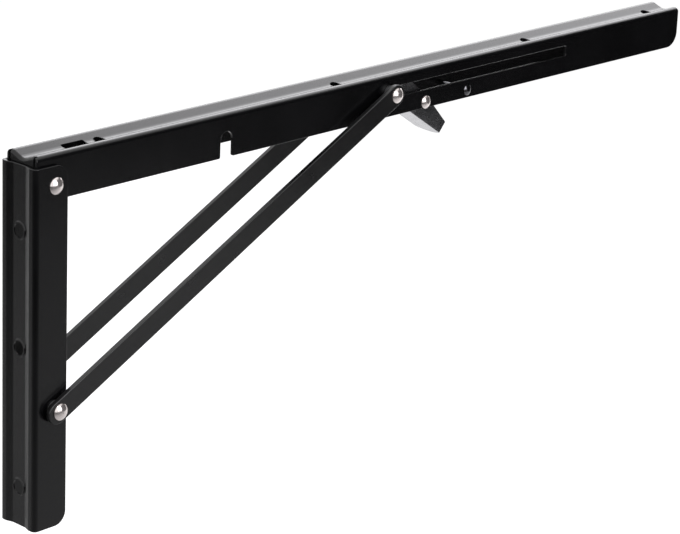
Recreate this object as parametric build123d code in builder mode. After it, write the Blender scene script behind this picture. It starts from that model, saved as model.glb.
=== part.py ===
"""Folding shelf bracket, open at 90 degrees: wall leg, shelf arm, two struts and a release lever.

Frame: +X runs out from the wall along the shelf arm, +Y is the bracket's left side seen from
the wall, +Z is up.  The origin is midway between the upper and the lower wall hole, on the
outer face of the leg's dished web.  All sizes are in millimetres.
"""
import math
import os

from build123d import *

# ---------------------------------------------------------------- sheet steel
sheet = 1.5  # wall of both channels
nest_gap = 0.5  # play on each side where the arm folds into the leg
sheet_edge = 0.35  # rounding of the flanges' outer edges, slots and notches

# ---------------------------------------------------------------- wall leg
leg_width = 26.0
leg_depth = 20.5
leg_bend = 2.6  # outside bend radius
leg_dish_depth = 1.2  # the web is rolled inwards between two crests
leg_dish_run = 4.5  # width of each of the dish's slopes, beside its flat floor
leg_crest = 1.7  # flat strip between the bend and the dish
leg_crest_radius = 2.0
leg_valley_radius = 2.5
leg_top_above_hinge = 10.0
leg_bottom_below_hinge = 176.7
leg_foot_round = 7.0
wall_hole_d = 7.2
wall_dimple_height = 0.5  # rim raised towards the wall round each wall hole
wall_dimple_d = 8.4
wall_dimple_foot_d = 9.6
wall_countersink_d = 10.2  # screw head's seat on the shelf side
wall_hole_land = 0.7  # straight part of the hole
wall_hole_first = 23.0  # hinge axis down to the upper wall hole
wall_hole_second = 60.0  # upper wall hole down to the middle one
wall_hole_third = 133.0  # upper wall hole down to the lower one
wall_to_hinge = 13.1  # wall plane to the hinge axis

# ---------------------------------------------------------------- shelf arm
arm_length = 500.0
arm_height = 23.0
arm_bend = 2.5
arm_dish_depth = 2.4
arm_crest = 0.5
arm_crest_radius = 3.0
arm_valley_radius = 7.0
arm_end_to_hinge = 10.5  # wall-side end of the arm to the hinge axis
arm_heel_radius = 9.9  # flanges' lower wall-side corner, about the hinge axis
arm_heel_top = 3.0  # above the hinge axis
arm_bottom_to_hinge = 7.8  # flange edge to the hinge axis
arm_nose_round = 8.5  # lower corner at the free end
arm_tab_gap = 0.3  # web turned down as a tab, to the leg's top edge
arm_tab_round = 1.6
arm_relief_width = 1.2
arm_relief_reach = 0.4  # past the tab's inner face
shelf_hole_d = 6.5
shelf_hole_places = (38.8, 205.5, 361.1)  # from the hinge axis
shelf_hole_from_end = 17.2  # last one, from the free end
window_place = 23.5
window_length = 14.5
window_width = 7.0
window_round = 0.8

# ---------------------------------------------------------------- struts and their linkage
foot_below_hinge = 114.3  # hinge axis down to the struts' foot rivet
latch_place = 235.6  # hinge axis out to the slide rivets when latched
latch_above_hinge = 5.45  # slot centre line above the hinge axis
strut_width = 11.4
strut_thickness = 2.5
strut_gap = 1.6  # leg's side to the strut's inner face
strut_foot_reach = 1.5  # foot end's round lies this far past the rivet
strut_edge = 0.5  # rounding of the outer edges
side_play = 0.15  # running play between stacked parts

slot_height = 6.0
slot_end_round = 1.2
slot_near_play = 0.1  # latched bush to the slot's near end
slot_far_play = 3.32  # folded bush to the slot's far end

notch_width = 8.4
notch_beyond_sleeve = 0.6  # its middle, past the foot sleeve's place when folded
notch_mouth_round = 1.0
notch_top_above_hinge = 5.85

# ---------------------------------------------------------------- rivets, sleeves, bushes
pin_d = 5.0
pin_play = 0.05  # radial play of a pin in its hole
head_d = 8.6
slide_head_d = 8.2
head_height = 2.1
head_rim = 0.35  # straight rim under the dome
hinge_sleeve_d = 8.0
foot_sleeve_d = 6.2
spacer_d = 10.0
bush_shank_d = 5.5
bush_collar_d = 9.0
bush_face_play = 0.25

# ---------------------------------------------------------------- release lever
lever_beyond_latch = 29.9  # latched slide rivets out to the lever's pivot
lever_below_hinge = 4.5
lever_pin_d = 4.0
lever_head_d = 7.2
lever_head_height = 1.8
lever_sheet = 1.5
lever_side_play = 0.6  # lever's cheek to the arm's flange
lever_boss_radius = 4.0
lever_pad_slope = 33.25  # thumb pad below the horizontal, degrees
lever_pad_offset = 9.0  # pivot to the pad's outer face
lever_pad_start = 12.2  # pad's upper end, measured back along the slope from the pivot
lever_pad_end = 23.6  # pad's lower corners, measured along the slope from the pivot
lever_pad_crown = 3.2  # rounded end past the corners
lever_tail_slope = 47.2  # free edge of the cheeks below the horizontal
lever_tail_length = 24.2  # its end, measured along that slope from the pivot
lever_nose_gap = 0.7  # nose to the latched bush
lever_nose_top = 12.3  # above the pivot
lever_nose_bottom = 4.4
lever_nose_back = 9.5  # pivot back to the end of the nose's top edge
lever_nose_round = 1.5
ear_hole_d = 1.5
ear_hole_back = 3.9  # ear hole from the pivot, towards the wall
ear_hole_up = 4.9

# ---------------------------------------------------------------- return spring
anchor_beyond_lever = 34.0  # lever's pivot out to the anchor rivet
anchor_below_hinge = 3.4
anchor_pin_d = 3.0
anchor_head_d = 6.0
anchor_head_height = 1.3
spring_wire_d = 0.7
spring_coil_d = 3.4
spring_turns = 20
spring_start = 8.5  # lever pivot to the first turn
spring_clear = 0.5  # coil to the inside of the arm's flange
spring_hook_play = 0.05

# ---------------------------------------------------------------- places worked out
hinge_x = wall_to_hinge - leg_dish_depth
hinge_z = wall_hole_first + wall_hole_third / 2
wall_x = hinge_x - wall_to_hinge
leg_top = hinge_z + leg_top_above_hinge
leg_bottom = hinge_z - leg_bottom_below_hinge
leg_front = wall_x + leg_depth
leg_half = leg_width / 2
leg_dish_half = leg_half - leg_bend - leg_crest
leg_dish = (leg_dish_half, leg_dish_run, leg_dish_depth, leg_crest_radius, leg_valley_radius)
upper_hole_z = hinge_z - wall_hole_first
wall_hole_heights = (
    upper_hole_z,
    upper_hole_z - wall_hole_second,
    upper_hole_z - wall_hole_third,
)

arm_width = leg_width - 2 * (sheet + nest_gap)
arm_half = arm_width / 2
arm_inner = arm_half - sheet
arm_dish_half = arm_half - arm_bend - arm_crest
arm_dish = (arm_dish_half, arm_dish_half, arm_dish_depth, arm_crest_radius, arm_valley_radius)
arm_tab_half = arm_inner - arm_relief_width
arm_start = hinge_x - arm_end_to_hinge
arm_end = arm_start + arm_length
arm_bottom = hinge_z - arm_bottom_to_hinge
arm_top = arm_bottom + arm_height

foot_z = hinge_z - foot_below_hinge
slot_z = hinge_z + latch_above_hinge
latch_x = hinge_x + latch_place
strut_rise = foot_below_hinge + latch_above_hinge
strut_length = math.hypot(latch_place, strut_rise)
folded_place = foot_below_hinge + math.sqrt(strut_length**2 - latch_above_hinge**2)
slot_start = latch_x - bush_shank_d / 2 - slot_near_play
slot_end = hinge_x + folded_place + bush_shank_d / 2 + slot_far_play

lever_x = latch_x + lever_beyond_latch
lever_z = hinge_z - lever_below_hinge
lever_half = arm_half - sheet - lever_side_play
anchor_x = lever_x + anchor_beyond_lever
anchor_z = hinge_z - anchor_below_hinge
spring_side = arm_inner - spring_clear - spring_coil_d / 2

strut_inner = leg_half + strut_gap
strut_outer = strut_inner + strut_thickness
through = leg_width + 20.0  # longer than any cut across the bracket


def side_plane(x, z, y=0.0):
    """Plane across the bracket at (x, y, z): local x is +X, local y is +Z."""
    return Plane(origin=(x, y, z), x_dir=(1, 0, 0), z_dir=(0, -1, 0))


def half_channel(half_width, depth, bend, dish, inset):
    """Outline of one half of a channel, inset from the outside surface.

    Local y is 0 at the crests and the flanges run down to -depth.  Each side of the dish turns
    down over the crest radius, falls in a straight slope and turns level over the valley radius,
    all within its run; what is left of the dish's half width is flat floor.
    """
    dish_half, run, dish_depth, crest_radius, valley_radius = dish
    both_radii = crest_radius + valley_radius
    drop = both_radii - dish_depth
    slope_length = math.sqrt(drop**2 + run**2 - both_radii**2)
    turn = math.atan2(run, drop) - math.atan2(slope_length, both_radii)
    with BuildLine() as outline:
        flange = Line((half_width - inset, -depth), (half_width - inset, -bend))
        corner = JernArc(flange @ 1, flange % 1, bend - inset, 90)
        crest = Line(corner @ 1, (dish_half, -inset))
        shoulder = JernArc(crest @ 1, crest % 1, crest_radius - inset, math.degrees(turn))
        slope = Line(shoulder @ 1, shoulder @ 1 + slope_length * (shoulder % 1))
        valley = JernArc(slope @ 1, slope % 1, valley_radius + inset, -math.degrees(turn))
        floor = (0, -dish_depth - inset)
        if dish_half > run:
            Line(valley @ 1, floor)
        Line(floor, (0, -depth))
        Line((0, -depth), flange @ 0)
    return outline.line


def turned(x, z, start_y, stages):
    """Solid of revolution across the bracket: stages are (length, radius) from start_y on."""
    with BuildPart() as blank:
        reached = start_y
        for length, radius in stages:
            with BuildSketch(Plane(origin=(x, reached, z), x_dir=(1, 0, 0), z_dir=(0, 1, 0))):
                Circle(radius)
            extrude(amount=length)
            reached += length
    return blank.part


def half_dome(face, diameter, height):
    """Half section of a rivet head seated at local y = face and rising with local y."""
    radius = diameter / 2
    with BuildLine() as outline:
        Line((0, face), (radius, face))
        Line((radius, face), (radius, face + head_rim))
        TangentArc((0, face + height), (radius, face + head_rim), tangent=(1, 0))
        Line((0, face + height), (0, face))
    return outline.line


def through_rivet(x, z, shank_d, seat, diameter, height):
    """Rivet right across the bracket, with a dome on each side seated at the same distance."""
    with BuildPart() as rivet:
        with BuildSketch(Plane(origin=(x, 0, z), x_dir=(1, 0, 0), z_dir=(0, 0, 1))):
            with Locations((shank_d / 4, 0)):
                Rectangle(shank_d / 2, 2 * seat)
            add(half_dome(seat, diameter, height))
            make_face()
            mirror(about=Plane.XZ)
        revolve(axis=Axis((x, 0, z), (0, 1, 0)))
    return rivet.part


def sleeve(x, z, outside_d, inside_d, start_y, end_y):
    """Plain tube across the bracket from start_y to end_y."""
    with BuildPart() as tube:
        with BuildSketch(Plane(origin=(x, start_y, z), x_dir=(1, 0, 0), z_dir=(0, 1, 0))):
            Circle(outside_d / 2)
            Circle(inside_d / 2, mode=Mode.SUBTRACT)
        extrude(amount=end_y - start_y)
    return tube.part


def round_outer_edges(channel, half_width, wanted):
    """Round the wanted edges of a channel's two outer side faces."""
    side_edges = [
        edge
        for edge in channel.edges()
        if abs(abs(edge.center().Y) - half_width) < 0.01 and wanted(edge)
    ]
    fillet(side_edges, radius=sheet_edge)


def save(part, name):
    """Label a finished piece and write it as its own STEP file."""
    part.label = name
    export_step(part, f"parts/{name}.step")


os.makedirs("parts", exist_ok=True)

# ================================================================ wall leg
# A pressed channel, dished web to the wall, open towards the shelf side.
leg_section = Plane(origin=(wall_x, 0, leg_bottom), x_dir=(0, 1, 0), z_dir=(0, 0, 1))
leg_shape = (leg_half, leg_depth, leg_bend, leg_dish)
leg_length = leg_top - leg_bottom
leg_top_round = leg_front - hinge_x

with BuildPart() as wall_channel:
    with BuildSketch(leg_section):
        add(half_channel(*leg_shape, inset=0))
        make_face()
        mirror(about=Plane.YZ)
    extrude(amount=leg_length)
    with BuildSketch(leg_section):
        add(half_channel(*leg_shape, inset=sheet))
        make_face()
        mirror(about=Plane.YZ)
    extrude(amount=leg_length, mode=Mode.SUBTRACT)
    # front corners of the flanges: one round about the hinge, one at the foot
    with BuildSketch(side_plane(0, 0)):
        with BuildLine():
            Line((wall_x, leg_bottom), (leg_front - leg_foot_round, leg_bottom))
            foot_arc = JernArc(
                (leg_front - leg_foot_round, leg_bottom), (1, 0), leg_foot_round, 90
            )
            front = Line(foot_arc @ 1, (leg_front, leg_top - leg_top_round))
            top_arc = JernArc(front @ 1, (0, 1), leg_top_round, 90)
            Line(top_arc @ 1, (wall_x, leg_top))
            Line((wall_x, leg_top), (wall_x, leg_bottom))
        make_face()
    extrude(amount=through / 2, both=True, mode=Mode.INTERSECT)
    # rivet holes through both flanges
    with BuildSketch(side_plane(hinge_x, 0)):
        with Locations((0, hinge_z), (0, foot_z)):
            Circle(pin_d / 2 + pin_play)
    extrude(amount=through / 2, both=True, mode=Mode.SUBTRACT)
    # wall holes, each dimpled towards the wall and countersunk from the shelf side
    dimple_draft = math.degrees(
        math.atan((wall_dimple_foot_d - wall_dimple_d) / (2 * wall_dimple_height))
    )
    seat_depth = sheet + wall_dimple_height - wall_hole_land
    seat_taper = math.degrees(math.atan((wall_countersink_d - wall_hole_d) / (2 * seat_depth)))
    with BuildSketch(Plane(origin=(0, 0, 0), x_dir=(0, 1, 0), z_dir=(-1, 0, 0))):
        with Locations([(0, -height) for height in wall_hole_heights]):
            Circle(wall_dimple_foot_d / 2)
    extrude(amount=wall_dimple_height, taper=dimple_draft)
    with BuildSketch(Plane(origin=(sheet, 0, 0), x_dir=(0, 1, 0), z_dir=(-1, 0, 0))):
        with Locations([(0, -height) for height in wall_hole_heights]):
            Circle(wall_countersink_d / 2)
    extrude(amount=seat_depth, taper=seat_taper, mode=Mode.SUBTRACT)
    with BuildSketch(Plane(origin=(wall_x, 0, 0), x_dir=(0, 1, 0), z_dir=(1, 0, 0))):
        with Locations([(0, height) for height in wall_hole_heights]):
            Circle(wall_hole_d / 2)
    extrude(amount=leg_dish_depth + 2 * sheet, mode=Mode.SUBTRACT)
    round_outer_edges(
        wall_channel, leg_half, lambda edge: edge.center().X > wall_x + leg_bend + 0.1
    )
save(wall_channel.part, "wall_channel")

# ================================================================ shelf arm
# A second channel, web up, that nests between the leg's flanges when folded.
arm_section = Plane(origin=(arm_start, 0, arm_top), x_dir=(0, 1, 0), z_dir=(1, 0, 0))
arm_void = Plane(origin=(arm_start + sheet, 0, arm_top), x_dir=(0, 1, 0), z_dir=(1, 0, 0))
arm_shape = (arm_half, arm_height, arm_bend, arm_dish)
tab_bottom = leg_top + arm_tab_gap
notch_radius = notch_width / 2
notch_centre_z = hinge_z + notch_top_above_hinge - notch_radius
notch_x = hinge_x + foot_below_hinge + notch_beyond_sleeve
relief_middle = arm_tab_half + arm_relief_width / 2
shelf_hole_depth = arm_dish_depth + 2 * sheet

with BuildPart() as arm_channel:
    with BuildSketch(arm_section):
        add(half_channel(*arm_shape, inset=0))
        make_face()
        mirror(about=Plane.YZ)
    extrude(amount=arm_length)
    # the web's wall-side end turns down as a tab, so the hollow starts one sheet in
    with BuildSketch(arm_void):
        add(half_channel(*arm_shape, inset=sheet))
        make_face()
        mirror(about=Plane.YZ)
    extrude(amount=arm_length, mode=Mode.SUBTRACT)
    with BuildSketch(arm_section):
        with Locations((0, (arm_bottom + tab_bottom) / 2 - arm_top)):
            Rectangle(2 * arm_inner, tab_bottom - arm_bottom)
    extrude(amount=sheet, mode=Mode.SUBTRACT)
    # bend reliefs between the tab and the flanges
    with BuildSketch(Plane.XY.offset(tab_bottom)):
        with Locations((arm_start, relief_middle), (arm_start, -relief_middle)):
            Rectangle(2 * (sheet + arm_relief_reach), arm_relief_width)
    extrude(amount=arm_height, mode=Mode.SUBTRACT)
    tab_top_edges = arm_channel.edges().group_by(Axis.X)[0].filter_by(
        lambda edge: edge.center().Z > arm_top - arm_dish_depth - 0.1
        and abs(edge.center().Y) < arm_tab_half - 0.1
    )
    fillet(tab_top_edges, radius=arm_tab_round)
    # side outline of the flanges
    with BuildSketch(side_plane(0, 0)):
        with BuildLine():
            heel_drop = math.sqrt(arm_heel_radius**2 - arm_bottom_to_hinge**2)
            heel_low = (hinge_x - heel_drop, arm_bottom)
            heel = RadiusArc(heel_low, (hinge_x - arm_heel_radius, hinge_z), arm_heel_radius)
            Line(heel @ 1, (arm_start, hinge_z + arm_heel_top))
            Line((arm_start, hinge_z + arm_heel_top), (arm_start, arm_top))
            Line((arm_start, arm_top), (arm_end, arm_top))
            Line((arm_end, arm_top), (arm_end, arm_bottom + arm_nose_round))
            nose_arc = JernArc(
                (arm_end, arm_bottom + arm_nose_round), (0, -1), arm_nose_round, -90
            )
            Line(nose_arc @ 1, heel_low)
        make_face()
    extrude(amount=through / 2, both=True, mode=Mode.INTERSECT)
    # notch that clears the foot sleeve when the arm is folded
    with BuildSketch(side_plane(notch_x, 0)):
        with Locations((0, notch_centre_z)):
            Circle(notch_radius)
        with Locations((0, (notch_centre_z + arm_bottom - notch_radius) / 2)):
            Rectangle(notch_width, notch_centre_z - arm_bottom + notch_radius)
    extrude(amount=through / 2, both=True, mode=Mode.SUBTRACT)
    mouth_edges = (
        arm_channel.edges()
        .filter_by(Axis.Y)
        .filter_by_position(Axis.X, notch_x - notch_width, notch_x + notch_width)
        .group_by(Axis.Z)[0]
    )
    fillet(mouth_edges, radius=notch_mouth_round)
    # slots for the slide bushes
    with BuildSketch(side_plane((slot_start + slot_end) / 2, slot_z)):
        RectangleRounded(slot_end - slot_start, slot_height, slot_end_round)
    extrude(amount=through / 2, both=True, mode=Mode.SUBTRACT)
    round_outer_edges(
        arm_channel, arm_half, lambda edge: edge.center().Z < arm_top - arm_bend - 0.1
    )
    # hinge, lever and anchor holes through both flanges
    with BuildSketch(side_plane(0, 0)):
        with Locations((hinge_x, hinge_z)):
            Circle(pin_d / 2 + pin_play)
        with Locations((lever_x, lever_z)):
            Circle(lever_pin_d / 2 + pin_play)
        with Locations((anchor_x, anchor_z)):
            Circle(anchor_pin_d / 2 + pin_play)
    extrude(amount=through / 2, both=True, mode=Mode.SUBTRACT)
    # shelf screw holes and the window in the web
    with BuildSketch(Plane.XY.offset(arm_top)):
        with Locations([(hinge_x + place, 0) for place in shelf_hole_places]):
            Circle(shelf_hole_d / 2)
        with Locations((arm_end - shelf_hole_from_end, 0)):
            Circle(shelf_hole_d / 2)
        with Locations((hinge_x + window_place, 0)):
            RectangleRounded(window_length, window_width, window_round)
    extrude(amount=-shelf_hole_depth, mode=Mode.SUBTRACT)
save(arm_channel.part, "arm_channel")

# ================================================================ hinge and foot rivets
# Each runs right across, through a sleeve that keeps the channel from closing.
leg_inner = leg_half - sheet
foot_seat = strut_outer + side_play
sleeve_bore = pin_d + 2 * pin_play

save(through_rivet(hinge_x, hinge_z, pin_d, leg_half, head_d, head_height), "hinge_rivet")
save(through_rivet(hinge_x, foot_z, pin_d, foot_seat, head_d, head_height), "foot_rivet")

hinge_sleeve_half = arm_inner - side_play
hinge_sleeve = sleeve(
    hinge_x, hinge_z, hinge_sleeve_d, sleeve_bore, -hinge_sleeve_half, hinge_sleeve_half
)
save(hinge_sleeve, "hinge_sleeve")

foot_sleeve = sleeve(hinge_x, foot_z, foot_sleeve_d, sleeve_bore, -leg_inner, leg_inner)
save(foot_sleeve, "foot_sleeve")

# ================================================================ struts, one on each side
strut_along = (latch_place, 0, strut_rise)

for side, name in ((1, "left"), (-1, "right")):
    spacer_inner = min(side * leg_half, side * (strut_inner - side_play))
    spacer_outer = max(side * leg_half, side * (strut_inner - side_play))
    spacer = sleeve(hinge_x, foot_z, spacer_d, sleeve_bore, spacer_inner, spacer_outer)
    save(spacer, f"foot_spacer_{name}")

    strut_face = Plane(
        origin=(hinge_x, side * strut_inner, foot_z), x_dir=strut_along, z_dir=(0, side, 0)
    )
    with BuildPart() as strut:
        with BuildSketch(strut_face):
            with Locations(((strut_length - strut_foot_reach) / 2, 0)):
                SlotCenterToCenter(strut_length + strut_foot_reach, strut_width)
            with Locations((0, 0), (strut_length, 0)):
                Circle(pin_d / 2 + pin_play, mode=Mode.SUBTRACT)
        extrude(amount=strut_thickness)
        outer_rim = strut.faces().sort_by(Axis.Y)[-1 if side > 0 else 0].outer_wire().edges()
        fillet(outer_rim, radius=strut_edge)
    save(strut.part, f"strut_{name}")

    # slide rivet: dome outside, shank flush with the strut's inner face
    rivet_plane = Plane(
        origin=(latch_x, side * strut_inner, slot_z), x_dir=(1, 0, 0), z_dir=(0, 0, side)
    )
    with BuildPart() as slide_rivet:
        with BuildSketch(rivet_plane):
            with Locations((pin_d / 4, strut_thickness / 2)):
                Rectangle(pin_d / 2, strut_thickness)
            add(half_dome(strut_thickness, slide_head_d, head_height))
            make_face()
        revolve(axis=Axis((latch_x, 0, slot_z), (0, 1, 0)))
    save(slide_rivet.part, f"slide_rivet_{name}")

    # slide bush: a shank that runs in the slot and a collar that spaces the strut
    shank_inner = arm_inner
    collar_inner = arm_half + side_play
    collar_outer = strut_inner - bush_face_play
    shank_length = collar_inner - shank_inner
    collar_length = collar_outer - collar_inner
    if side > 0:
        stages = ((shank_length, bush_shank_d / 2), (collar_length, bush_collar_d / 2))
        bush = turned(latch_x, slot_z, shank_inner, stages)
    else:
        stages = ((collar_length, bush_collar_d / 2), (shank_length, bush_shank_d / 2))
        bush = turned(latch_x, slot_z, -collar_outer, stages)
    save(bush, f"slide_bush_{name}")

# ================================================================ release lever
# One folded blank: a thumb pad with a cheek on each side; each cheek has the nose that
# stands behind the latched bush, the pivot boss and the ear for the return spring.
pad_slope = math.radians(lever_pad_slope)
pad_along = (math.cos(pad_slope), -math.sin(pad_slope))
pad_out = (-math.sin(pad_slope), -math.cos(pad_slope))
tail_slope = math.radians(lever_tail_slope)
tail_along = (math.cos(tail_slope), -math.sin(tail_slope))
tail_out = (math.sin(tail_slope), math.cos(tail_slope))


def pad_point(along, out=lever_pad_offset):
    """Point given along the thumb pad's slope and out from the pivot towards its face."""
    return (
        along * pad_along[0] + out * pad_out[0],
        along * pad_along[1] + out * pad_out[1],
    )


def tail_point(along):
    """Point on the cheeks' free edge, which is tangent to the pivot boss."""
    return (
        along * tail_along[0] + lever_boss_radius * tail_out[0],
        along * tail_along[1] + lever_boss_radius * tail_out[1],
    )


nose_front = bush_shank_d / 2 + lever_nose_gap - lever_beyond_latch
boss_top = (lever_boss_radius * math.sin(0.5), lever_boss_radius * math.cos(0.5))
cheek_outline = [
    pad_point(lever_pad_end),
    pad_point(-lever_pad_end * 0.9),
    (nose_front, lever_nose_bottom),
    (nose_front, lever_nose_top),
    (-lever_nose_back, lever_nose_top),
    boss_top,
    tail_point(0),
    tail_point(lever_tail_length),
]
lever_plane = side_plane(lever_x, lever_z)
pad_corner = pad_point(lever_pad_end)
pad_plane = Plane(
    origin=(lever_x + pad_corner[0], 0, lever_z + pad_corner[1]),
    x_dir=(pad_along[0], 0, pad_along[1]),
    z_dir=(pad_out[0], 0, pad_out[1]),
)

with BuildPart() as release_lever:
    with BuildSketch(lever_plane):
        with BuildLine():
            Polyline(*cheek_outline, close=True)
        make_face()
        Circle(lever_boss_radius)
    extrude(amount=lever_half, both=True)
    # open the inside, leaving the two cheeks and the pad
    with BuildSketch(lever_plane):
        with BuildLine():
            Polyline(
                pad_point(2 * lever_pad_end, lever_pad_offset - lever_sheet),
                pad_point(-lever_pad_start, lever_pad_offset - lever_sheet),
                pad_point(-lever_pad_start, 2 * lever_pad_offset),
                pad_point(-3 * lever_pad_end, 2 * lever_pad_offset),
                pad_point(-3 * lever_pad_end, -2 * lever_pad_end),
                pad_point(2 * lever_pad_end, -2 * lever_pad_end),
                close=True,
            )
        make_face()
    extrude(amount=lever_half - lever_sheet, both=True, mode=Mode.SUBTRACT)
    # crowned end of the pad
    with BuildSketch(pad_plane):
        with BuildLine():
            crown = ThreePointArc((0, -lever_half), (lever_pad_crown, 0), (0, lever_half))
            Line(crown @ 1, crown @ 0)
        make_face()
    extrude(amount=-lever_sheet)
    # pivot holes through both cheeks, and the spring's hole in the right ear only
    with BuildSketch(lever_plane):
        Circle(lever_pin_d / 2 + pin_play)
    extrude(amount=through / 2, both=True, mode=Mode.SUBTRACT)
    with BuildSketch(lever_plane):
        with Locations((-ear_hole_back, ear_hole_up)):
            Circle(ear_hole_d / 2)
    extrude(amount=through / 2, mode=Mode.SUBTRACT)
    nose_edges = (
        release_lever.edges()
        .filter_by(Axis.Y)
        .filter_by_position(Axis.X, lever_x + nose_front - 0.1, lever_x + nose_front + 0.1)
    )
    fillet(nose_edges, radius=lever_nose_round)
save(release_lever.part, "release_lever")

lever_rivet = through_rivet(
    lever_x, lever_z, lever_pin_d, arm_half, lever_head_d, lever_head_height
)
save(lever_rivet, "lever_rivet")

# ================================================================ return spring
# A close-wound tension spring: turned as touching rings, with a wire hook at each end.  It
# hangs between the lever's right ear and a small rivet right across the arm.
anchor_rivet = through_rivet(
    anchor_x, anchor_z, anchor_pin_d, arm_half, anchor_head_d, anchor_head_height
)
save(anchor_rivet, "spring_anchor_rivet")

ring = spring_wire_d / 2
mean_radius = spring_coil_d / 2 - ring
ear_x = lever_x - ear_hole_back
ear_z = lever_z + ear_hole_up
coil_length = spring_turns * spring_wire_d
hook_radius = anchor_pin_d / 2 + ring + spring_hook_play
span = math.hypot(anchor_x - ear_x, anchor_z - ear_z)
fall = math.atan2(ear_z - anchor_z, anchor_x - ear_x) - math.asin(hook_radius / span)
axis_dir = (math.cos(fall), 0, -math.sin(fall))
coil_start = (spring_start + ear_hole_back) / math.cos(fall)
coil_x = ear_x + coil_start * axis_dir[0]
coil_z = ear_z + coil_start * axis_dir[2]
coil_plane = Plane(origin=(coil_x, -spring_side, coil_z), x_dir=axis_dir, z_dir=(0, -1, 0))
straight = math.sqrt(span**2 - hook_radius**2) - coil_start

with BuildPart() as latch_spring:
    with BuildSketch(coil_plane):
        with BuildLine():
            Line((0, 0), (0, mean_radius))
            edge_at = (0, mean_radius)
            for turn in range(spring_turns):
                middle = ((turn + 0.5) * spring_wire_d, mean_radius + ring)
                corner_at = ((turn + 1) * spring_wire_d, mean_radius)
                ThreePointArc(edge_at, middle, corner_at)
                edge_at = corner_at
            Line(edge_at, (coil_length, 0))
            Line((coil_length, 0), (0, 0))
        make_face()
    revolve(axis=Axis(coil_plane.origin, axis_dir))
    # hook round the anchor rivet
    with BuildLine(coil_plane) as anchor_hook:
        reach = Line((coil_length - spring_wire_d, 0), (straight, 0))
        JernArc(reach @ 1, reach % 1, hook_radius, -200)
    with BuildSketch(Plane(anchor_hook.line @ 0, z_dir=anchor_hook.line % 0)):
        Circle(ring)
    sweep(path=anchor_hook.line)
    # hook through the ear of the lever's right cheek
    with BuildLine() as ear_hook:
        FilletPolyline(
            coil_plane.from_local_coords((spring_wire_d, 0, 0)),
            (ear_x, -spring_side + 1.0, ear_z),
            (ear_x, -lever_half - spring_wire_d * 0.1, ear_z),
            radius=spring_wire_d * 0.8,
        )
    with BuildSketch(Plane(ear_hook.line @ 0, z_dir=ear_hook.line % 0)):
        Circle(ring)
    sweep(path=ear_hook.line)
save(latch_spring.part, "latch_spring")
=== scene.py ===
"""Folding shelf bracket, open at 90 degrees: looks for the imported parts."""
import math

import bpy
import numpy as np
from mathutils import Matrix, Vector


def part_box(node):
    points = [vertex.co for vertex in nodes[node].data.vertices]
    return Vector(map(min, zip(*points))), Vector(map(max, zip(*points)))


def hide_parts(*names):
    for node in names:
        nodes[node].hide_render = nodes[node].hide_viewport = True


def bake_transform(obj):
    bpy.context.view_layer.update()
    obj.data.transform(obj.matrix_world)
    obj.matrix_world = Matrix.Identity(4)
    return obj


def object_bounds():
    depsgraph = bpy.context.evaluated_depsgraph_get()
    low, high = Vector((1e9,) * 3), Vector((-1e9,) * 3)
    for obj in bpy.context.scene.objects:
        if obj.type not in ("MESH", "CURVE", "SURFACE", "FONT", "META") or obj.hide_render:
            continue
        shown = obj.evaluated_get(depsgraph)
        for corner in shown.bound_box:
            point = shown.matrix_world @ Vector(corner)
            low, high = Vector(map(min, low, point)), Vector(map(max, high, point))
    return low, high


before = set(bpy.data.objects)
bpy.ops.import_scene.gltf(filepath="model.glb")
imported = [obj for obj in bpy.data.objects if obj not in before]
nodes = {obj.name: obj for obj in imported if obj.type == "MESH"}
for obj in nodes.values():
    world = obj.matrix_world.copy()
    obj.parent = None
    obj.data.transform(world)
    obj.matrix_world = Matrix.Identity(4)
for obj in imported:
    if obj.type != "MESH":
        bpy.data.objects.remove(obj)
cad_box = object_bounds()

# ---------------------------------------------------------------- camera
# A long lens about a metre and a half away, a little above and on the wall side, so that the
# arm runs away to the right and the wall channel's dished web just shows.
def centre(name):
    """Middle of a named part's box."""
    low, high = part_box(name)
    return (np.array(low) + np.array(high)) / 2


hinge = Vector(centre("hinge_sleeve"))
azimuth = math.radians(-47.111)
elevation = math.radians(18.624)
camera_roll = math.radians(2.339)
camera_distance = 1.5237
aim_out = 0.21437
aim_drop = 0.09080
sensor_width = 36.0
lens = 148.78
near_clip = 0.05

aim = hinge + Vector((aim_out, 0.0, -aim_drop))
toward_camera = Vector((
    math.sin(azimuth) * math.cos(elevation),
    -math.cos(azimuth) * math.cos(elevation),
    math.sin(elevation),
))
level_right = Vector((math.cos(azimuth), math.sin(azimuth), 0.0))
level_up = toward_camera.cross(level_right)
camera_right = math.cos(camera_roll) * level_right + math.sin(camera_roll) * level_up
camera_up = math.cos(camera_roll) * level_up - math.sin(camera_roll) * level_right

camera_data = bpy.data.cameras.new("studio_camera")
camera_data.sensor_fit = "HORIZONTAL"
camera_data.sensor_width = sensor_width
camera_data.lens = lens
camera_data.clip_start = near_clip
camera = bpy.data.objects.new("studio_camera", camera_data)
camera.matrix_world = Matrix.Translation(aim + camera_distance * toward_camera) @ Matrix(
    (camera_right, camera_up, toward_camera)
).transposed().to_4x4()
bpy.context.scene.collection.objects.link(camera)
bpy.context.scene.camera = camera
bpy.context.scene.view_settings.view_transform = "Standard"


# ---------------------------------------------------------------- white paper and surround
# A plain white paper floor in a white room.  Metal and glossy coats see the same white, and the
# paper keeps a faint shadow of the bracket.
def linear(hex_code):
    """sRGB hex code to a linear colour: each channel above 0.04045 follows the 2.4 power law."""
    channels = [int(hex_code[place:place + 2], 16) / 255 for place in (1, 3, 5)]
    powered = [
        channel / 12.92 if channel <= 0.04045 else ((channel + 0.055) / 1.055) ** 2.4
        for channel in channels
    ]
    return (*powered, 1.0)


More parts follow.
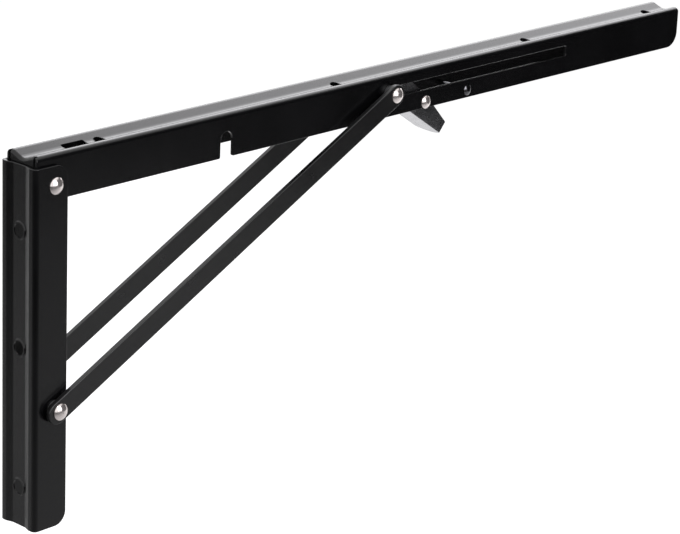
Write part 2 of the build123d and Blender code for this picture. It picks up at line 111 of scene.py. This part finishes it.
def add_node(tree, kind, options=None, values=None, links=None):
    """Adds one node: options are its settings, values and links go to its sockets."""
    made = tree.nodes.new(kind)
    for option, choice in (options or {}).items():
        setattr(made, option, choice)
    for socket, value in (values or {}).items():
        made.inputs[socket].default_value = value
    for socket, source in (links or {}).items():
        tree.links.new(source, made.inputs[socket])
    return made


def seen_directly(tree):
    """1 where the camera, a glossy coat or glass looks at the surface, and 0 for its light."""
    ray = add_node(tree, "ShaderNodeLightPath")
    mirrored = add_node(
        tree, "ShaderNodeMath", {"operation": "MAXIMUM"}, None,
        {0: ray.outputs["Is Camera Ray"], 1: ray.outputs["Is Glossy Ray"]},
    )
    shown = add_node(
        tree, "ShaderNodeMath", {"operation": "MAXIMUM"}, None,
        {0: mirrored.outputs[0], 1: ray.outputs["Is Transmission Ray"]},
    )
    return shown.outputs[0]


def stage_mesh(name, points, faces, material):
    """A studio surface from world points, kept out of the part."""
    mesh = bpy.data.meshes.new(name)
    mesh.from_pydata([tuple(point) for point in points], [], faces)
    mesh.materials.append(material)
    made = bpy.data.objects.new(name, mesh)
    bpy.context.scene.collection.objects.link(made)
    return made


floor_drop = 0.65
floor_reach = 8.0
floor_z = hinge.z - floor_drop
paper_colour = "#f4f4f4"
paper_glow = 0.6
room_colour = "#ffffff"
room_light = 0.45
room_white = 1.0

paper = bpy.data.materials.new("white_paper")
paper.use_nodes = True
tree = paper.node_tree
tree.nodes.clear()
matt = add_node(tree, "ShaderNodeBsdfDiffuse", None, {"Color": linear(paper_colour)})
glow = add_node(
    tree, "ShaderNodeEmission", None, {"Color": linear(room_colour), "Strength": paper_glow}
)
lit = add_node(tree, "ShaderNodeAddShader", None, None, {0: matt.outputs[0], 1: glow.outputs[0]})
mixed = add_node(
    tree, "ShaderNodeMixShader", None, None,
    {"Fac": seen_directly(tree), 1: matt.outputs[0], 2: lit.outputs[0]},
)
add_node(tree, "ShaderNodeOutputMaterial", None, None, {"Surface": mixed.outputs[0]})
stage_mesh(
    "studio_floor",
    [
        (-floor_reach, -floor_reach, floor_z), (floor_reach, -floor_reach, floor_z),
        (floor_reach, floor_reach, floor_z), (-floor_reach, floor_reach, floor_z),
    ],
    [(0, 1, 2, 3)],
    paper,
)

surround = bpy.data.worlds.new("white_surround")
bpy.context.scene.world = surround
surround.use_nodes = True
tree = surround.node_tree
tree.nodes.clear()
ambient = add_node(
    tree, "ShaderNodeBackground", None, {"Color": linear(room_colour), "Strength": room_light}
)
white = add_node(
    tree, "ShaderNodeBackground", None, {"Color": linear(room_colour), "Strength": room_white}
)
mixed = add_node(
    tree, "ShaderNodeMixShader", None, None,
    {"Fac": seen_directly(tree), 1: ambient.outputs[0], 2: white.outputs[0]},
)
add_node(tree, "ShaderNodeOutputWorld", None, None, {"Surface": mixed.outputs[0]})


# ---------------------------------------------------------------- lamps and black cloth
# Two big soft boxes, one over the other, stand high behind the shelf and give the long
# highlights; a smaller one in front gives each rivet its bright spot.  Black cloth on the floor,
# on the right and in front keeps the enamel black.
arm_middle = 0.22
middle = hinge + Vector((arm_middle, 0.0, 0.0))
lamp_colour = "#fbfafe"
cloth_colour = "#303030"
cloth_drop = 0.10
cloth_gap = 0.004
cloth_z = cad_box[0][2] - cloth_drop


def soft_box(name, toward, distance, width, height, radiance):
    """A rectangular lamp of even radiance; its power is radiance times pi times its area."""
    direction = Vector(toward).normalized()
    lamp = bpy.data.lights.new(name, "AREA")
    lamp.shape = "RECTANGLE"
    lamp.size = width
    lamp.size_y = height
    lamp.energy = radiance * math.pi * width * height
    lamp.color = linear(lamp_colour)[:3]
    made = bpy.data.objects.new(name, lamp)
    made.location = middle + distance * direction
    made.rotation_euler = direction.to_track_quat("Z", "Y").to_euler()
    made.visible_camera = False
    bpy.context.scene.collection.objects.link(made)


def black_cloth(name, across, open_end, closed_end):
    """Black cloth that thins out from closed_end to open_end, in metres along across."""
    made = bpy.data.materials.new(name)
    made.use_nodes = True
    tree = made.node_tree
    tree.nodes.clear()
    place = add_node(tree, "ShaderNodeTexCoord")
    along = add_node(
        tree, "ShaderNodeVectorMath", {"operation": "DOT_PRODUCT"}, {1: across},
        {0: place.outputs["Object"]},
    )
    cover = add_node(
        tree, "ShaderNodeMapRange", {"interpolation_type": "SMOOTHSTEP"},
        {"From Min": open_end, "From Max": closed_end}, {"Value": along.outputs["Value"]},
    )
    gap = add_node(tree, "ShaderNodeBsdfTransparent")
    cloth = add_node(tree, "ShaderNodeBsdfDiffuse", None, {"Color": linear(cloth_colour)})
    mixed = add_node(
        tree, "ShaderNodeMixShader", None, None,
        {"Fac": cover.outputs["Result"], 1: gap.outputs[0], 2: cloth.outputs[0]},
    )
    add_node(tree, "ShaderNodeOutputMaterial", None, None, {"Surface": mixed.outputs[0]})
    return made


def hang_cloth(name, points, faces, across, open_end, closed_end):
    """Black cloth that only mirrors and glossy coats see, so that it takes no light away."""
    cloth = stage_mesh(name, points, faces, black_cloth(name, across, open_end, closed_end))
    cloth.visible_camera = False
    cloth.visible_diffuse = False
    cloth.visible_shadow = False


def lay_cloth(name, layer, x_reach, y_reach, across, open_end, closed_end):
    """A rectangle of cloth over the floor, one cloth_gap higher for each layer under it."""
    z = cloth_z + layer * cloth_gap
    corners = [
        (x_reach[0], y_reach[0], z), (x_reach[1], y_reach[0], z),
        (x_reach[1], y_reach[1], z), (x_reach[0], y_reach[1], z),
    ]
    hang_cloth(name, corners, [(0, 1, 2, 3)], across, open_end, closed_end)


soft_box(
    "rear_low_box", toward=(0.821, 0.432, 0.373), distance=1.90, width=2.0, height=0.85,
    radiance=2.2,
)
soft_box(
    "rear_high_box", toward=(0.644, 0.338, 0.686), distance=1.90, width=1.9, height=0.55,
    radiance=1.75,
)
soft_box(
    "front_box", toward=(-0.10, -0.93, 0.35), distance=1.3, width=0.8, height=0.8,
    radiance=3.2,
)

cloth_left, cloth_right = -2.5, 2.8
cloth_front, cloth_rear = -2.5, 1.5
lay_cloth(
    "front_floor_cloth", 0, (cloth_left, cloth_right), (cloth_front, cloth_rear),
    across=(0.665, 0.747, 0.0), open_end=1.0, closed_end=-0.7,
)
lay_cloth(
    "right_floor_cloth", 1, (0.3, cloth_right), (cloth_front, -0.15),
    across=(0.87, -0.49, 0.0), open_end=0.74, closed_end=0.96,
)
lay_cloth(
    "rear_floor_cloth", 2, (cloth_left, -0.05), (0.0, cloth_rear),
    across=(-0.73, 0.68, 0.0), open_end=0.3, closed_end=1.4,
)

tent_radius = 2.2
tent_height = 2.8
tent_open_rise, tent_closed_rise = 2.3, 1.2
tent_from, tent_to = math.radians(286.0), math.radians(355.0)
tent_steps = 16
sweep = np.linspace(tent_from, tent_to, tent_steps + 1)
rim = np.stack([middle.x + tent_radius * np.cos(sweep), tent_radius * np.sin(sweep)], axis=1)
hang_cloth(
    "front_tent",
    [(x, y, cloth_z) for x, y in rim] + [(x, y, cloth_z + tent_height) for x, y in rim],
    [(i, i + 1, i + tent_steps + 2, i + tent_steps + 1) for i in range(tent_steps)],
    across=(0.0, 0.0, 1.0), open_end=hinge.z + tent_open_rise,
    closed_end=hinge.z + tent_closed_rise,
)


# ---------------------------------------------------------------- black enamelled channels
# The wall channel and the arm are pressed from cold-rolled sheet and stove enamelled gloss
# black: a smooth coat with faint orange peel, a few dust nibs and a soft cloudiness.
metre = 1000.0


def surface(name):
    """A fresh material with its tree, its object-space coordinates and its shader."""
    made = bpy.data.materials.new(name)
    made.use_nodes = True
    made.node_tree.nodes.clear()
    place = add_node(made.node_tree, "ShaderNodeTexCoord")
    shader = add_node(made.node_tree, "ShaderNodeBsdfPrincipled")
    add_node(
        made.node_tree, "ShaderNodeOutputMaterial", None, None, {"Surface": shader.outputs[0]}
    )
    return made, made.node_tree, place.outputs["Object"], shader


def clouded(tree, place, shader, size_mm, tones, roughness):
    """Lets colour and roughness drift together in soft clouds of one real size.

    The noise mostly stays between its usual low and high, so those two span the roughness.
    """
    usual_low, usual_high = 0.3, 0.7
    darker, lighter = tones
    smoothest, dullest = roughness
    cloud = add_node(
        tree, "ShaderNodeTexNoise", None, {"Scale": metre / size_mm, "Detail": 2.0},
        {"Vector": place},
    )
    tone = add_node(
        tree, "ShaderNodeMix", {"data_type": "RGBA"},
        {"A": linear(darker), "B": linear(lighter)}, {"Factor": cloud.outputs["Fac"]},
    )
    sheen = add_node(
        tree, "ShaderNodeMapRange", None,
        {
            "From Min": usual_low, "From Max": usual_high,
            "To Min": smoothest, "To Max": dullest,
        },
        {"Value": cloud.outputs["Fac"]},
    )
    tree.links.new(tone.outputs["Result"], shader.inputs["Base Color"])
    tree.links.new(sheen.outputs["Result"], shader.inputs["Roughness"])
    return cloud.outputs["Fac"]


def dress(material, names):
    """Puts one material on the named parts."""
    for name in names:
        nodes[name].data.materials.clear()
        nodes[name].data.materials.append(material)


enamel_cloud_mm = 30.0
peel_mm, peel_height_mm = 1.6, 0.06
nib_mm, nib_height_mm = 0.5, 0.02
enamel, tree, place, shader = surface("gloss_black_stove_enamel")
shader.inputs["IOR"].default_value = 1.5
clouded(
    tree, place, shader, enamel_cloud_mm, tones=("#060607", "#0b0b0d"), roughness=(0.20, 0.25),
)
peel = add_node(
    tree, "ShaderNodeTexNoise", None, {"Scale": metre / peel_mm, "Detail": 1.0}, {"Vector": place}
)
nibs = add_node(
    tree, "ShaderNodeTexNoise", None, {"Scale": metre / nib_mm, "Detail": 2.0}, {"Vector": place}
)
fine = add_node(
    tree, "ShaderNodeBump", None, {"Strength": 0.10, "Distance": nib_height_mm / metre},
    {"Height": nibs.outputs["Fac"]},
)
ripple = add_node(
    tree, "ShaderNodeBump", None, {"Strength": 0.12, "Distance": peel_height_mm / metre},
    {"Height": peel.outputs["Fac"], "Normal": fine.outputs["Normal"]},
)
tree.links.new(ripple.outputs["Normal"], shader.inputs["Normal"])
dress(enamel, ("wall_channel", "arm_channel"))

# ---------------------------------------------------------------- struts
# Flat bar, blanked and barrel tumbled before the same black coat, so that the coat lies a
# little greyer and less glossy than on the channels.
bar_cloud_mm = 18.0
bar_pit_mm, bar_pit_depth_mm = 0.9, 0.04
bar_coat, tree, place, shader = surface("satin_black_bar_coat")
shader.inputs["IOR"].default_value = 1.62
clouded(
    tree, place, shader, bar_cloud_mm, tones=("#0c0c0d", "#121213"), roughness=(0.27, 0.33),
)
pits = add_node(
    tree, "ShaderNodeTexNoise", None, {"Scale": metre / bar_pit_mm, "Detail": 3.0},
    {"Vector": place},
)
tumbled = add_node(
    tree, "ShaderNodeBump", None, {"Strength": 0.15, "Distance": bar_pit_depth_mm / metre},
    {"Height": pits.outputs["Fac"]},
)
tree.links.new(tumbled.outputs["Normal"], shader.inputs["Normal"])
dress(bar_coat, ("strut_left", "strut_right"))

# ---------------------------------------------------------------- nickel-plated rivets
# Steel rivets, tumbled and bright-nickel plated before they are set: a warm white metal with a
# smooth dome that the riveting tool leaves faintly dimpled.
tint_mm = 4.0
dimple_mm, dimple_depth_mm = 1.2, 0.05
nickel, tree, place, shader = surface("bright_nickel_plate")
shader.inputs["Metallic"].default_value = 0.85
clouded(tree, place, shader, tint_mm, tones=("#f1e7e4", "#fbf3f1"), roughness=(0.13, 0.20))
dimples = add_node(
    tree, "ShaderNodeTexNoise", None, {"Scale": metre / dimple_mm, "Detail": 2.0},
    {"Vector": place},
)
hammered = add_node(
    tree, "ShaderNodeBump", None, {"Strength": 0.2, "Distance": dimple_depth_mm / metre},
    {"Height": dimples.outputs["Fac"]},
)
tree.links.new(hammered.outputs["Normal"], shader.inputs["Normal"])
dress(nickel, (
    "hinge_rivet", "foot_rivet", "lever_rivet", "slide_rivet_left", "slide_rivet_right",
))

# ---------------------------------------------------------------- spring anchor rivet
# The small rivet that the return spring hooks round is passivated black over bright zinc, so
# that its low dome is dark with one hard bright spot.
passivate_mm, struck_depth_mm = 1.5, 0.03
black_zinc, tree, place, shader = surface("black_passivated_zinc")
shader.inputs["Metallic"].default_value = 1.0
cloud = clouded(
    tree, place, shader, passivate_mm, tones=("#5c5c5f", "#707073"), roughness=(0.12, 0.18),
)
struck = add_node(
    tree, "ShaderNodeBump", None, {"Strength": 0.2, "Distance": struck_depth_mm / metre},
    {"Height": cloud},
)
tree.links.new(struck.outputs["Normal"], shader.inputs["Normal"])
dress(black_zinc, ("spring_anchor_rivet",))

# ---------------------------------------------------------------- zinc-plated turned pieces
# Sleeves, spacers and slide bushes are cut and turned from steel bar and zinc plated: a duller
# grey with fine turning marks round the pin.
spangle_mm = 2.5
turning_pitch_mm, turning_depth_mm = 0.25, 0.02
radians_per_scale = 20.0  # a wave texture of scale 1 runs through 20 radians in a metre
zinc, tree, place, shader = surface("zinc_plated_turned_steel")
shader.inputs["Metallic"].default_value = 1.0
clouded(tree, place, shader, spangle_mm, tones=("#8f9092", "#a9aaab"), roughness=(0.32, 0.45))
marks = add_node(
    tree, "ShaderNodeTexWave", {"bands_direction": "Y"},
    {
        "Scale": metre / turning_pitch_mm * 2.0 * math.pi / radians_per_scale,
        "Distortion": 0.6,
    },
    {"Vector": place},
)
grooved = add_node(
    tree, "ShaderNodeBump", None, {"Strength": 0.2, "Distance": turning_depth_mm / metre},
    {"Height": marks.outputs["Fac"]},
)
tree.links.new(grooved.outputs["Normal"], shader.inputs["Normal"])
dress(zinc, (
    "hinge_sleeve", "foot_sleeve", "foot_spacer_left", "foot_spacer_right",
    "slide_bush_left", "slide_bush_right",
))

# ---------------------------------------------------------------- release lever
# Blanked and folded from 1.5 mm steel and bright zinc plated: a clean cool metal with the faint
# rolling grain of the strip showing through the plating.
strip_mm = 6.0
grain_mm, grain_depth_mm = 4.0, 0.03
grain_stretch = 12.0
bright_zinc, tree, place, shader = surface("bright_zinc_plated_strip")
shader.inputs["Metallic"].default_value = 1.0
clouded(tree, place, shader, strip_mm, tones=("#a4a4a7", "#afafb2"), roughness=(0.23, 0.30))
rolled = add_node(
    tree, "ShaderNodeMapping", None, {"Scale": (1.0, grain_stretch, grain_stretch)},
    {"Vector": place},
)
lines = add_node(
    tree, "ShaderNodeTexNoise", None, {"Scale": metre / grain_mm, "Detail": 3.0},
    {"Vector": rolled.outputs["Vector"]},
)
rolling = add_node(
    tree, "ShaderNodeBump", None, {"Strength": 0.1, "Distance": grain_depth_mm / metre},
    {"Height": lines.outputs["Fac"]},
)
tree.links.new(rolling.outputs["Normal"], shader.inputs["Normal"])
dress(bright_zinc, ("release_lever",))

# ---------------------------------------------------------------- return spring
# Close-wound from drawn spring steel, phosphated and oiled: dark grey wire with a soft shine.
# It pulls the lever's right ear towards the anchor rivet; on the real bracket its front leg gives
# way when the lever is pressed, while this wire keeps its resting shape.
wire_radius = 0.35 / metre
wire_facets = 10
coil_radius = 1.35 / metre
coil_turns = 20
steps_per_turn = 24
ear_back, ear_up = 3.9 / metre, 4.9 / metre
coil_after_pivot = 8.5 / metre
ear_end_out = 1.7 / metre
ear_corner_in = 1.0 / metre
ear_corner_round = 0.9 / metre
hook_radius = 1.9 / metre
hook_sweep = math.radians(200.0)
drawn_mm, drawn_depth_mm = 1.0, 0.02
wire, tree, place, shader = surface("drawn_spring_wire")
shader.inputs["Metallic"].default_value = 1.0
cloud = clouded(
    tree, place, shader, drawn_mm, tones=("#3e3e40", "#505052"), roughness=(0.25, 0.38),
)
drawn = add_node(
    tree, "ShaderNodeBump", None, {"Strength": 0.1, "Distance": drawn_depth_mm / metre},
    {"Height": cloud},
)
tree.links.new(drawn.outputs["Normal"], shader.inputs["Normal"])

pivot = centre("lever_rivet")
anchor = centre("spring_anchor_rivet")
ear = np.array([pivot[0] - ear_back, centre("latch_spring")[1], pivot[2] + ear_up])
reach = math.hypot(anchor[0] - ear[0], anchor[2] - ear[2])
fall = math.atan2(ear[2] - anchor[2], anchor[0] - ear[0]) - math.asin(hook_radius / reach)
spring_frame = np.array([
    (math.cos(fall), 0.0, -math.sin(fall)),
    (math.sin(fall), 0.0, math.cos(fall)),
    (0.0, -1.0, 0.0),
])
coil_start = (coil_after_pivot + ear_back) / math.cos(fall)
coil_end = coil_start + coil_turns * 2 * wire_radius
hook_start = math.sqrt(reach**2 - hook_radius**2)


def straight(start, end, count):
    """Points at even steps from start up to, and without, end."""
    share = np.arange(count)[:, None] / count
    return np.array(start) + share * (np.array(end) - np.array(start))


def spring_wire_path():
    """Centre line of the wire from the ear, and a vector square to it at each point.

    Its columns run along the spring, above it and out to its side.  The ear hook is two straights
    joined by a quadratic curve.  The coil is a helix, whose radius grows from nothing over its
    first quarter turn and shrinks again over its last.  The anchor hook is a straight and an arc
    round the rivet.
    """
    curve_steps, ear_steps, leg_steps, run_steps, hook_steps = 8, 4, 24, 8, 28
    quarter_turn = math.pi / 2
    corner = np.array([0.0, 0.0, -ear_corner_in])
    towards_coil = np.array([coil_start, 0.0, 0.0]) - corner
    before = corner + (0.0, 0.0, ear_corner_round)
    after = corner + ear_corner_round * towards_coil / np.linalg.norm(towards_coil)
    share = straight((0.0,), (1.0,), curve_steps)
    curve = (1 - share) ** 2 * before + 2 * share * (1 - share) * corner + share**2 * after
    ear_hook = np.concatenate([
        straight((0.0, 0.0, ear_end_out), before, ear_steps), curve,
        straight(after, (coil_start, 0.0, 0.0), leg_steps),
    ])
    angle = np.linspace(0.0, 2 * math.pi * coil_turns, coil_turns * steps_per_turn + 1)
    ramp = np.clip(np.minimum(angle, angle[-1] - angle) / quarter_turn, 0.0, 1.0)
    radius = coil_radius * ramp**2 * (3 - 2 * ramp)
    advance = coil_start + (coil_end - coil_start) * angle / angle[-1]
    coil = np.stack([advance, radius * np.cos(angle), radius * np.sin(angle)], axis=1)
    run = straight((coil_end, 0.0, 0.0), (hook_start, 0.0, 0.0), run_steps)[1:]
    bend = np.linspace(0.0, hook_sweep, hook_steps)
    hook = np.stack([
        hook_start + hook_radius * np.sin(bend), hook_radius * (np.cos(bend) - 1), 0.0 * bend,
    ], axis=1)
    level = np.array([(0.0, 1.0, 0.0)])
    sides = np.concatenate([
        np.repeat(level, len(ear_hook), axis=0),
        np.stack([0.0 * angle, np.cos(angle), np.sin(angle)], axis=1),
        np.repeat(level, len(run), axis=0),
        np.stack([np.sin(bend), np.cos(bend), 0.0 * bend], axis=1),
    ])
    return np.concatenate([ear_hook, coil, run, hook]), sides


def round_wire(name, path, sides, radius, facets, material):
    """Closed tube: a circle of the radius, square to the path, swept through its points."""
    heading = np.gradient(path, axis=0)
    heading /= np.linalg.norm(heading, axis=1, keepdims=True)
    first = sides - np.sum(sides * heading, axis=1, keepdims=True) * heading
    first /= np.linalg.norm(first, axis=1, keepdims=True)
    second = np.cross(heading, first)
    turn = 2 * math.pi * np.arange(facets)[None, :, None] / facets
    circle = np.cos(turn) * first[:, None] + np.sin(turn) * second[:, None]
    rings = path[:, None] + radius * circle
    ring_start = facets * np.arange(len(path) - 1)[:, None]
    here = np.arange(facets)[None, :]
    following = (here + 1) % facets
    quads = np.stack([
        ring_start + here, ring_start + following,
        ring_start + facets + following, ring_start + facets + here,
    ], axis=-1).reshape(-1, 4)
    last = facets * (len(path) - 1)
    ends = [list(range(facets - 1, -1, -1)), list(range(last, last + facets))]
    mesh = bpy.data.meshes.new(name)
    mesh.from_pydata(rings.reshape(-1, 3).tolist(), [], quads.tolist() + ends)
    mesh.shade_smooth()
    mesh.materials.append(material)
    made = bpy.data.objects.new(name, mesh)
    bpy.context.scene.collection.objects.link(made)
    return made


wire_path, wire_sides = spring_wire_path()
spring = round_wire(
    "latch_spring_wire", ear + wire_path @ spring_frame, wire_sides @ spring_frame,
    wire_radius, wire_facets, wire,
)
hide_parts("latch_spring")
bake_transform(spring)
